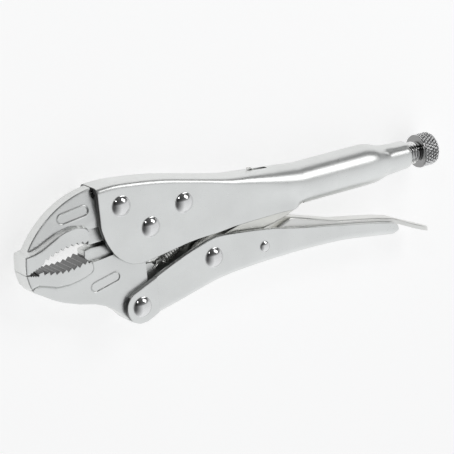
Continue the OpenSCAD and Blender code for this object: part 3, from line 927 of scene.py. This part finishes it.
def tension_spring_mesh():
    """One wire: a ring through the jaw's tab, the coils, and a hook over the handle's slot."""
    along, length = spring_line()
    across = np.array([-along[1], along[0]])
    coil_len = length - REAR_LEN - FRONT_LEN
    steps = round(coil_len / COIL_PITCH) * STEPS_PER_COIL
    path = []
    for degrees in np.linspace(15, 345, 22):
        a = math.radians(degrees)
        path.append((RING_R + RING_R * math.cos(a), 0.0, -RING_R * math.sin(a)))
    path += [(2 * RING_R + 0.9, 0.0, 1.6), (REAR_LEN - 0.9, 0.3, COIL_R - 0.5)]
    for k in range(steps + 1):
        a = 2 * math.pi * k / STEPS_PER_COIL
        path.append((REAR_LEN + coil_len * k / steps, -COIL_R * math.sin(a),
                     COIL_R * math.cos(a)))
    path += [(length - FRONT_LEN + 1.4, -0.2, COIL_R - 0.4), (length - FRONT_LEN + 3.6, 0, 1.4),
             (length - 6.6, 0, 0.2), (length - 4.4, 0, 0)]
    origin = np.array(JAW_HOOK)
    points = [(*(origin + along * x + across * y), z) for x, y, z in path]
    points += [(x, y, 0) for x, y in HOOK_LINE]
    return wire_tube(points, WIRE_R)


# ---- materials ----

BRUSH_SCALE = 4200.0
SPECK_SCALE = 2600.0
CLOUD_SCALE = 60.0
# the brushing's lines are drawn out along X: the smaller this is, the longer they are
BRUSH_STRETCH = 0.12
BUMP_DEPTH = 0.00002


def metal(name, color, roughness, scratch):
    """Plated steel: fine brushing, faint patches of tone and slight wear in its polish."""
    mat = bpy.data.materials.new(name)
    mat.use_nodes = True
    tree = mat.node_tree
    shader = tree.nodes["Principled BSDF"]
    shader.inputs["Metallic"].default_value = 1.0
    shader.inputs["Specular IOR Level"].default_value = 0.5
    place_of = tree.nodes.new("ShaderNodeTexCoord")
    stretch = tree.nodes.new("ShaderNodeMapping")
    stretch.inputs["Scale"].default_value = (BRUSH_STRETCH, 1.0, 1.0)
    tree.links.new(place_of.outputs["Object"], stretch.inputs["Vector"])

    def noise(scale, detail, vector):
        node = tree.nodes.new("ShaderNodeTexNoise")
        node.inputs["Scale"].default_value = scale
        node.inputs["Detail"].default_value = detail
        tree.links.new(vector, node.inputs["Vector"])
        return node

    def spread_of(node, low, high):
        span = tree.nodes.new("ShaderNodeMapRange")
        span.inputs["From Min"].default_value = 0.3
        span.inputs["From Max"].default_value = 0.7
        span.inputs["To Min"].default_value = low
        span.inputs["To Max"].default_value = high
        tree.links.new(node.outputs["Fac"], span.inputs["Value"])
        return span.outputs["Result"]

    brush = noise(BRUSH_SCALE, 3.0, stretch.outputs["Vector"])
    cloud = noise(CLOUD_SCALE, 2.0, place_of.outputs["Object"])
    speck = noise(SPECK_SCALE, 2.0, place_of.outputs["Object"])
    tone = tree.nodes.new("ShaderNodeMix")
    tone.data_type = "RGBA"
    tone.inputs["A"].default_value = (*(0.94 * c for c in color), 1)
    tone.inputs["B"].default_value = (*color, 1)
    tree.links.new(spread_of(cloud, 0.0, 1.0), tone.inputs["Factor"])
    tree.links.new(tone.outputs["Result"], shader.inputs["Base Color"])
    polish = spread_of(brush, roughness * 0.82, roughness * 1.18)
    tree.links.new(polish, shader.inputs["Roughness"])
    grain = tree.nodes.new("ShaderNodeMath")
    grain.operation = "MULTIPLY_ADD"
    grain.inputs[1].default_value = 0.6
    tree.links.new(speck.outputs["Fac"], grain.inputs[0])
    tree.links.new(brush.outputs["Fac"], grain.inputs[2])
    bump = tree.nodes.new("ShaderNodeBump")
    bump.inputs["Strength"].default_value = scratch
    bump.inputs["Distance"].default_value = BUMP_DEPTH
    tree.links.new(grain.outputs["Value"], bump.inputs["Height"])
    tree.links.new(bump.outputs["Normal"], shader.inputs["Normal"])
    return mat


def paint_shade(obj, tone, is_dark):
    """Paints shade into the faces of a piece that is_dark picks by their middles and normals, in
    tool mm: a face attribute mixes a dark tone into the metal's colour.
    """
    mesh = obj.data
    count = len(mesh.polygons)
    middles = np.empty(count * 3)
    normals = np.empty(count * 3)
    mesh.polygons.foreach_get("center", middles)
    mesh.polygons.foreach_get("normal", normals)
    dark = is_dark(middles.reshape(-1, 3) / MM - TOOL_ORIGIN, normals.reshape(-1, 3))
    shade = mesh.attributes.new("shade", "FLOAT", "FACE")
    shade.data.foreach_set("value", dark.astype(np.float32))
    tree = mesh.materials[0].node_tree
    color = tree.nodes["Principled BSDF"].inputs["Base Color"]
    mask = tree.nodes.new("ShaderNodeAttribute")
    mask.attribute_name = "shade"
    mix = tree.nodes.new("ShaderNodeMix")
    mix.data_type = "RGBA"
    mix.inputs["B"].default_value = (*tone, 1)
    tree.links.new(color.links[0].from_socket, mix.inputs["A"])
    tree.links.new(mask.outputs["Fac"], mix.inputs["Factor"])
    tree.links.new(mix.outputs["Result"], color)


def tooth_shade(centre, low, high):
    """Picks a jaw's sideways faces between two radii about its tooth arc's centre for painted
    shade, in full where they face the front and less where they face elsewhere.
    """
    def pick(middles, normals):
        reach = np.hypot(middles[:, 0] - centre[0], middles[:, 1] - centre[1])
        teeth = (reach > low) & (reach < high) & (abs(normals[:, 2]) < 0.5)
        return teeth * np.where(normals[:, 0] < -0.3, 1.0, 0.65)
    return pick


def front_facing_shade(middles, normals):
    """Picks the faces that face the front, such as the sheared edges, for painted shade."""
    return normals[:, 0] < -0.72


def screw_groove_shade(middles, normals):
    """Picks the thread's and the knurl's grooves and the front of the knob, as a share, for painted
    shade.
    """
    x = middles[:, 0]
    radius = np.hypot(middles[:, 1], middles[:, 2])
    front = (x > KNOB_X - 0.5) & (x < KNOB_X + 0.5) & (radius > 5.0)
    thread = (x < KNOB_X - 0.6) & (radius < THREAD_R - 0.8)
    knurl = (x > KNOB_X + 0.7) & (x < KNOB_X + KNOB_LEN - 0.9) & (radius < KNOB_R - 0.58)
    return np.where(thread | knurl, 1.0, np.where(front, 0.8, 0.0))


FLOOR_GREY = 0.5
FLOOR_GLOW = 0.68


def plain_floor():
    """A pale matt floor that glows a little, so that shadows on it stay faint."""
    mat = bpy.data.materials.new("pale_floor")
    mat.use_nodes = True
    shader = mat.node_tree.nodes["Principled BSDF"]
    shader.inputs["Base Color"].default_value = (*[FLOOR_GREY] * 3, 1)
    shader.inputs["Roughness"].default_value = 0.9
    shader.inputs["Specular IOR Level"].default_value = 0.1
    shader.inputs["Emission Color"].default_value = (1, 1, 1, 1)
    shader.inputs["Emission Strength"].default_value = FLOOR_GLOW
    return mat


PLATE_LOOK = ((0.80, 0.81, 0.80), 0.33, 0.2)
FIXED_JAW = metal("fixed_jaw_forging", (0.78, 0.79, 0.78), 0.33, 0.35)
MOVABLE_JAW = metal("movable_jaw_forging", (0.78, 0.79, 0.78), 0.33, 0.35)
LINK = metal("link_plate", (0.80, 0.80, 0.76), 0.34, 0.3)
LEVER = metal("lever_plate", (0.80, 0.80, 0.78), 0.33, 0.25)
POLISHED = metal("polished_rivet", (0.80, 0.80, 0.80), 0.13, 0.08)
CHROME = metal("bright_screw", (0.84, 0.84, 0.84), 0.14, 0.12)
WIRE = metal("spring_wire", (0.74, 0.74, 0.72), 0.22, 0.2)

# ---- the pieces ----

fixed_handle = place(add_mesh("fixed_handle_sheet", *fixed_handle_mesh()), "fixed_side",
                     "plated_sheet", metal("fixed_handle_plate", *PLATE_LOOK), "fixed_handle")
fixed_jaw = place(add_mesh("fixed_jaw_forging", *fixed_jaw_mesh(), sharp_angle=30),
                  "fixed_side", "forged_steel", FIXED_JAW, "fixed_jaw")
movable_jaw = place(add_mesh("movable_jaw_forging", *movable_jaw_mesh(), sharp_angle=30),
                    "jaw", "forged_steel", MOVABLE_JAW, "movable_jaw")
movable_handle = place(add_mesh("movable_handle_sheet", *movable_handle_mesh()), "lower_handle",
                       "plated_sheet", metal("movable_handle_plate", *PLATE_LOOK),
                       "movable_handle")
place(add_mesh("toggle_link_bar", *toggle_link_mesh()), "link", "link_steel", LINK,
      "toggle_link")
place(add_mesh("release_lever_sheet", *release_lever_mesh()), "lever", "lever_steel", LEVER,
      "release_lever")
screw = place(add_mesh("adjusting_screw_turned", *screw_mesh(), sharp_angle=40), "screw",
              "screw_steel", CHROME, "adjusting_screw")

# dark tone painted as shade on the jaws' teeth and in the screw's grooves
PAINTED_SHADE_TONE = (0.2, 0.2, 0.2)
# dark tone painted as shade on the faces that face the front
FRONT_SHADE_TONE = (0.16, 0.16, 0.16)
# the radii about a tooth arc's centre that hold its teeth
UPPER_TEETH = (34.0, 37.1)
LOWER_TEETH = (36.5, 41.0)
# painted shade on the jaws' teeth, darkest where they face the front
paint_shade(fixed_jaw, PAINTED_SHADE_TONE, tooth_shade(UPPER_ARC, *UPPER_TEETH))
paint_shade(movable_jaw, PAINTED_SHADE_TONE, tooth_shade(LOWER_ARC, *LOWER_TEETH))
# painted shade on the handles' faces that face the front
paint_shade(fixed_handle, FRONT_SHADE_TONE, front_facing_shade)
paint_shade(movable_handle, FRONT_SHADE_TONE, front_facing_shade)
# painted shade in the screw's grooves and on the knob's front
paint_shade(screw, PAINTED_SHADE_TONE, screw_groove_shade)

RIVETS = [("front_jaw_rivet", FRONT_RIVET, "fixed_side"),
          ("rear_jaw_rivet", REAR_RIVET, "fixed_side"),
          ("jaw_pivot_rivet", JAW_PIVOT, "fixed_side"),
          ("handle_pivot_rivet", HANDLE_PIVOT, "lower_handle"),
          ("link_pivot_rivet", LINK_PIVOT, "lower_handle")]
# radius of the shank, radius of the head and its height
RIVET_SIZE = (3.5, 5.2, 2.5)
PIN_SIZE = (1.9, 2.9, 1.2)
for node, centre, body in RIVETS:
    dome = add_mesh(node + "_dome", *rivet_mesh(centre, *RIVET_SIZE))
    place(dome, body, "rivet_steel", POLISHED, node)
place(add_mesh("lever_pin_dome", *rivet_mesh(LEVER_PIVOT, *PIN_SIZE)), "lower_handle",
      "rivet_steel", POLISHED, "lever_pin")

spring = place(add_mesh("tension_spring_wire", *tension_spring_mesh()), "fixed_side",
               "spring_steel", WIRE, "tension_spring")
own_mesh(spring)

# ---- floor, light and camera ----

bpy.ops.mesh.primitive_plane_add(size=6.0, location=(0, 0, -0.0003))
floor = bpy.context.object
floor.name = "floor"
floor.data.materials.append(plain_floor())


def soft_light(name, towards, distance, size, power):
    """An area light in the direction given, looking at the middle of the tool."""
    light = bpy.data.lights.new(name, "AREA")
    light.shape = "RECTANGLE"
    light.size, light.size_y = size
    light.energy = power
    obj = bpy.data.objects.new(name, light)
    spot = Vector(towards).normalized() * distance
    obj.location = spot
    obj.rotation_euler = (-spot).to_track_quat("-Z", "Y").to_euler()
    bpy.context.scene.collection.objects.link(obj)


# the box at the upper right brightens the folds, the lamp at the upper left the rims that
# face it; all else that the metal mirrors is the studio's graded light
soft_light("fold_box", (0.55, 0.57, 0.61), 1.2, (0.62, 0.46), 2.3)
soft_light("rim_lamp", (-0.47, 0.68, 0.57), 1.3, (0.13, 0.13), 0.6)


# brightness of the studio by the Y of a direction, and how it dims towards the front
STUDIO_BY_Y = [(-1.0, 0.98), (-0.5, 0.9), (-0.2, 0.84), (0.1, 0.78), (0.27, 0.24), (0.5, 0.1),
               (0.75, 0.1), (1.0, 0.16)]
DIM_FROM_X = -0.7
DIM_TO_X = 0.15
DIM_SHARE = 0.12


def graded_studio():
    """Studio light by direction: bright on the movable handle's side, dark above the fixed
    handle, and dim towards the jaws."""
    world = bpy.data.worlds.new("studio")
    bpy.context.scene.world = world
    world.use_nodes = True
    tree = world.node_tree
    back = tree.nodes["Background"]
    back.inputs["Color"].default_value = (0.98, 0.99, 1.0, 1)
    direction = tree.nodes.new("ShaderNodeTexCoord")
    split = tree.nodes.new("ShaderNodeSeparateXYZ")
    tree.links.new(direction.outputs["Generated"], split.inputs["Vector"])
    height = tree.nodes.new("ShaderNodeMapRange")
    height.inputs["From Min"].default_value = -1.0
    tree.links.new(split.outputs["Y"], height.inputs["Value"])
    ramp = tree.nodes.new("ShaderNodeValToRGB")
    ramp.color_ramp.interpolation = "EASE"
    elements = ramp.color_ramp.elements
    while len(elements) < len(STUDIO_BY_Y):
        elements.new(0.5)
    for element, (y, value) in zip(elements, STUDIO_BY_Y):
        element.position = (y + 1) / 2
    for element, (y, value) in zip(elements, STUDIO_BY_Y):
        element.color = (value, value, value, 1)
    tree.links.new(height.outputs["Result"], ramp.inputs["Fac"])
    side = tree.nodes.new("ShaderNodeMapRange")
    side.inputs["From Min"].default_value = DIM_FROM_X
    side.inputs["From Max"].default_value = DIM_TO_X
    side.inputs["To Min"].default_value = DIM_SHARE
    tree.links.new(split.outputs["X"], side.inputs["Value"])
    product = tree.nodes.new("ShaderNodeMath")
    product.operation = "MULTIPLY"
    tree.links.new(ramp.outputs["Color"], product.inputs[0])
    tree.links.new(side.outputs["Result"], product.inputs[1])
    tree.links.new(product.outputs["Value"], back.inputs["Strength"])


graded_studio()


# the camera's direction and roll in radians, its distance and aim in mm from a point on the
# screw's axis, and its field of view as focal length over picture width
AZIMUTH, ELEVATION, ROLL = -0.55796, 0.30333, -0.09011
DISTANCE, AIM_RIGHT, AIM_UP = 1000.0, -101.146, -40.460
AIM_FROM_X = 115.0
FOCAL_RATIO = 4.107974
SENSOR = 36.0


def photo_camera():
    """The camera of the reference view."""
    view = Vector((math.sin(AZIMUTH) * math.cos(ELEVATION), math.sin(ELEVATION),
                   math.cos(AZIMUTH) * math.cos(ELEVATION)))
    side = Vector((0, 1, 0)).cross(view).normalized()
    up = view.cross(side)
    right = math.cos(ROLL) * side + math.sin(ROLL) * up
    above = -math.sin(ROLL) * side + math.cos(ROLL) * up
    spot = AIM_RIGHT * right + AIM_UP * above + DISTANCE * view
    spot = (spot + Vector((AIM_FROM_X, 0, 0)) + Vector(TOOL_ORIGIN)) * MM
    data = bpy.data.cameras.new("camera")
    data.sensor_width = SENSOR
    data.lens = SENSOR * FOCAL_RATIO
    data.clip_start = 0.01
    camera = bpy.data.objects.new("camera", data)
    camera.matrix_world = Matrix((
        (right.x, above.x, view.x, spot.x),
        (right.y, above.y, view.y, spot.y),
        (right.z, above.z, view.z, spot.z),
        (0, 0, 0, 1)))
    bpy.context.scene.collection.objects.link(camera)
    bpy.context.scene.camera = camera


photo_camera()
bpy.context.scene.view_settings.view_transform = "Standard"
